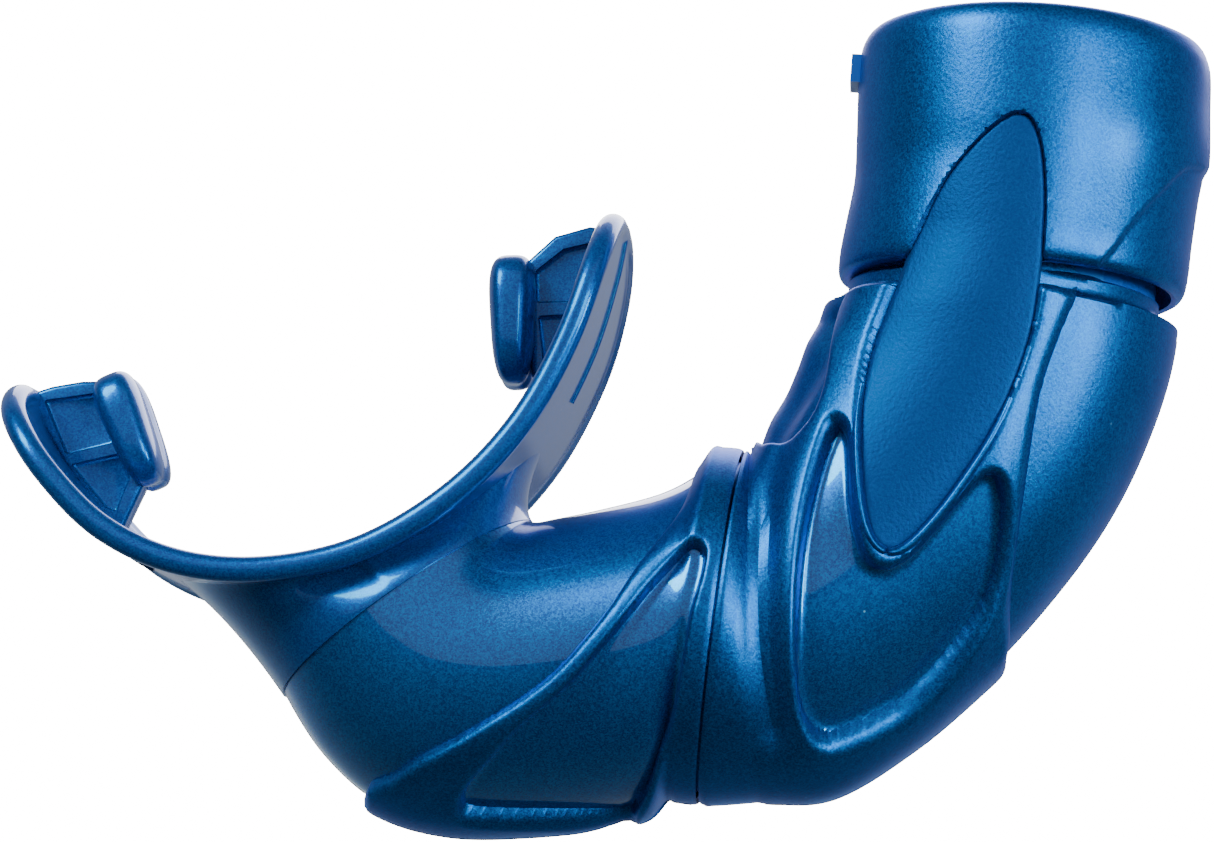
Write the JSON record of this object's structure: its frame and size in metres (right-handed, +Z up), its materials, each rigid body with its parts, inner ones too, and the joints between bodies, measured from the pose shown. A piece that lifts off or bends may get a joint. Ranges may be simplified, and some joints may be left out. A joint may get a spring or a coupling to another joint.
{
  "type": "snorkel tube",
  "caption": "Curved snorkel elbow with a barrel socket collar, ribbed frame, side plates and a swivelling mouthpiece with lip flange and bite wings.",
  "frame": {"origin": "centre of the seat that the barrel stops on, on the barrel's axis", "axes": "+Z up along the barrel out of the socket, +X away from the mouth, the part is mirrored about Y = 0"},
  "size_m": [0.1308, 0.0402, 0.0933],
  "materials": {
    "gloss": "glossy pearl blue",
    "matte": "satin pearl blue, fine flake",
    "plate": "matte grey blue",
    "soft": "satin blue elastomer",
    "raw": "unpainted blue moulding",
    "seal": "black rubber",
    "ring": "natural acetal"
  },
  "bodies": {
    "elbow": {"barrel_collar": "matte", "barrel_socket": "raw", "barrel_seal": "seal", "elbow_shell": "gloss", "elbow_frame": "matte", "name_plate_front": "plate", "name_plate_back": "plate", "plate_bezel_front": "matte", "plate_bezel_back": "matte", "swivel_sleeve": "raw"},
    "mouthpiece": {"swivel_spigot": "raw", "spigot_seal": "seal", "retaining_ring": "ring", "mouthpiece_shell": "gloss", "mouthpiece_frame": "matte", "mouth_neck": "soft", "lip_flange": "soft", "bite_wing_left": "soft", "bite_wing_right": "soft", "bite_pad_left": "soft", "bite_pad_right": "soft"}
  },
  "joints": [
    {"name": "mouthpiece_swivel", "type": "hinge", "parent": "elbow", "child": "mouthpiece", "pos_m": [-0.0285, 0, -0.043], "axis": [0.9986, 0, -0.0523], "continuous": true}
  ]
}
